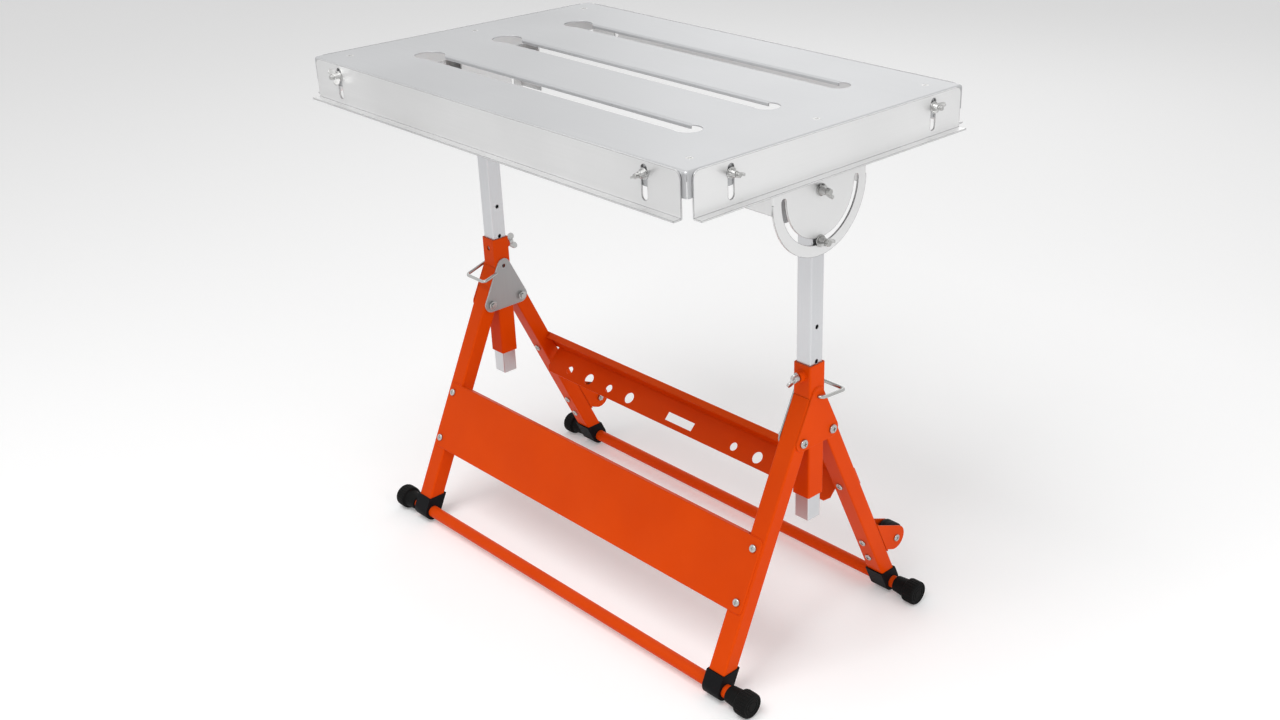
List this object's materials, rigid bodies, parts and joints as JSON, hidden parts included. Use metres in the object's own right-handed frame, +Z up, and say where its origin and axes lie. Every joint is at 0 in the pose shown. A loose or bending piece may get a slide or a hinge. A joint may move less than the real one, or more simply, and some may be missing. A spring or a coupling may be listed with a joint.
{
  "type": "folding welding work stand",
  "caption": "Folding steel work stand: slotted tilting top with sliding guide rails on height-adjustable posts and hinged A-frame legs.",
  "frame": {"origin": "on the floor, under the centre of the top", "axes": "+X along the top's long side, -Y towards the side with the solid panel, +Z up"},
  "size_m": [0.812, 0.5416, 0.78],
  "materials": {
    "zinc_sheet": "zinc-plated sheet, satin",
    "zinc_tube": "zinc-plated tube, satin",
    "orange_paint": "orange powder coat, semi-gloss",
    "zinc_hardware": "bright zinc plate",
    "black_rubber": "moulded, matt",
    "black_plastic": "moulded, satin",
    "wheel_plastic": "moulded, satin"
  },
  "bodies": {
    "hubs": {"socket_right": "orange_paint", "socket_left": "orange_paint", "outer_gusset_right": "orange_paint", "outer_gusset_left": "orange_paint", "inner_gusset_right": "zinc_sheet", "inner_gusset_left": "zinc_sheet", "clamp_bosses": "orange_paint", "hinge_bolts": "zinc_hardware", "hinge_nuts": "zinc_hardware"},
    "front_legs": {"front_leg_right": "orange_paint", "front_leg_left": "orange_paint", "front_connector_right": "black_plastic", "front_connector_left": "black_plastic", "front_foot_cap_right": "black_rubber", "front_foot_cap_left": "black_rubber", "front_foot_tube": "orange_paint", "front_panel": "orange_paint", "panel_screws": "zinc_hardware"},
    "rear_legs": {"rear_leg_right": "orange_paint", "rear_leg_left": "orange_paint", "rear_connector_right": "black_plastic", "rear_connector_left": "black_plastic", "rear_foot_cap_right": "black_rubber", "rear_foot_cap_left": "black_rubber", "wheel_bracket_right": "orange_paint", "wheel_bracket_left": "orange_paint", "rear_foot_tube": "orange_paint", "rear_tray": "orange_paint", "tray_bolts": "zinc_hardware", "bracket_screws": "zinc_hardware", "wheel_axles": "zinc_hardware"},
    "wheel_right": {"wheel_right": "wheel_plastic"},
    "wheel_left": {"wheel_left": "wheel_plastic"},
    "posts": {"post_right": "zinc_tube", "post_left": "zinc_tube", "tilt_bolts": "zinc_hardware", "tilt_washers": "zinc_hardware"},
    "tabletop": {"table_top": "zinc_sheet", "top_screws": "zinc_hardware", "rail_bolts": "zinc_hardware", "rail_wing_nuts": "zinc_hardware", "crossbar_right": "zinc_sheet", "crossbar_left": "zinc_sheet", "tilt_bracket_right": "zinc_sheet", "tilt_bracket_left": "zinc_sheet", "inner_pivot_plate_right": "zinc_sheet", "inner_pivot_plate_left": "zinc_sheet"},
    "front_rail": {"front_rail": "zinc_sheet"},
    "rear_rail": {"rear_rail": "zinc_sheet"},
    "end_rail_right": {"end_rail_right": "zinc_sheet"},
    "end_rail_left": {"end_rail_left": "zinc_sheet"},
    "lock_pin_right": {"lock_pin_right": "zinc_hardware"},
    "lock_pin_left": {"lock_pin_left": "zinc_hardware"},
    "clamp_screw_right": {"clamp_screw_right": "zinc_hardware"},
    "clamp_screw_left": {"clamp_screw_left": "zinc_hardware"},
    "pivot_wing_nut_right": {"pivot_wing_nut_right": "zinc_hardware"},
    "pivot_wing_nut_left": {"pivot_wing_nut_left": "zinc_hardware"},
    "lock_wing_nut_right": {"lock_wing_nut_right": "zinc_hardware"},
    "lock_wing_nut_left": {"lock_wing_nut_left": "zinc_hardware"}
  },
  "joints": [
    {"name": "height", "type": "slide", "parent": "hubs", "child": "posts", "axis": [0, 0, 1], "range_m": [-0.1, 0.05]},
    {"name": "tilt", "type": "hinge", "parent": "posts", "child": "tabletop", "pos_m": [0, 0, 0.691], "axis": [1, 0, 0], "range_deg": [-70, 70]},
    {"name": "front_fold", "type": "hinge", "parent": "hubs", "child": "front_legs", "pos_m": [0, -0.0295, 0.3425], "axis": [1, 0, 0], "range_deg": [0, 25]},
    {"name": "rear_fold", "type": "hinge", "parent": "hubs", "child": "rear_legs", "pos_m": [0, 0.0295, 0.3425], "axis": [-1, 0, 0], "range_deg": [0, 25]},
    {"name": "front_rail_slide", "type": "slide", "parent": "tabletop", "child": "front_rail", "axis": [0, 0, 1], "range_m": [-0.007, 0.025]},
    {"name": "rear_rail_slide", "type": "slide", "parent": "tabletop", "child": "rear_rail", "axis": [0, 0, 1], "range_m": [-0.007, 0.025]},
    {"name": "right_rail_slide", "type": "slide", "parent": "tabletop", "child": "end_rail_right", "axis": [0, 0, 1], "range_m": [-0.007, 0.025]},
    {"name": "left_rail_slide", "type": "slide", "parent": "tabletop", "child": "end_rail_left", "axis": [0, 0, 1], "range_m": [-0.007, 0.025]},
    {"name": "right_bail", "type": "hinge", "parent": "hubs", "child": "lock_pin_right", "pos_m": [0.36, 0, 0.4025], "axis": [1, 0, 0], "range_deg": [-38, 70]},
    {"name": "left_bail", "type": "hinge", "parent": "hubs", "child": "lock_pin_left", "pos_m": [-0.36, 0, 0.4025], "axis": [-1, 0, 0], "range_deg": [-26, 82]},
    {"name": "right_clamp_turn", "type": "hinge", "parent": "hubs", "child": "clamp_screw_right", "pos_m": [0.34, -0.02, 0.4325], "axis": [0, 1, 0], "continuous": true},
    {"name": "left_clamp_turn", "type": "hinge", "parent": "hubs", "child": "clamp_screw_left", "pos_m": [-0.34, 0.02, 0.4325], "axis": [0, 1, 0], "continuous": true},
    {"name": "right_wheel_spin", "type": "hinge", "parent": "rear_legs", "child": "wheel_right", "pos_m": [0.34, 0.18563, 0.09424], "axis": [1, 0, 0], "continuous": true},
    {"name": "left_wheel_spin", "type": "hinge", "parent": "rear_legs", "child": "wheel_left", "pos_m": [-0.34, 0.18563, 0.09424], "axis": [1, 0, 0], "continuous": true},
    {"name": "right_pivot_nut_turn", "type": "hinge", "parent": "posts", "child": "pivot_wing_nut_right", "pos_m": [0.358, 0, 0.691], "axis": [1, 0, 0], "continuous": true},
    {"name": "right_lock_nut_turn", "type": "hinge", "parent": "posts", "child": "lock_wing_nut_right", "pos_m": [0.358, 0, 0.623], "axis": [1, 0, 0], "continuous": true},
    {"name": "left_pivot_nut_turn", "type": "hinge", "parent": "posts", "child": "pivot_wing_nut_left", "pos_m": [-0.358, 0, 0.691], "axis": [1, 0, 0], "continuous": true},
    {"name": "left_lock_nut_turn", "type": "hinge", "parent": "posts", "child": "lock_wing_nut_left", "pos_m": [-0.358, 0, 0.623], "axis": [1, 0, 0], "continuous": true}
  ]
}
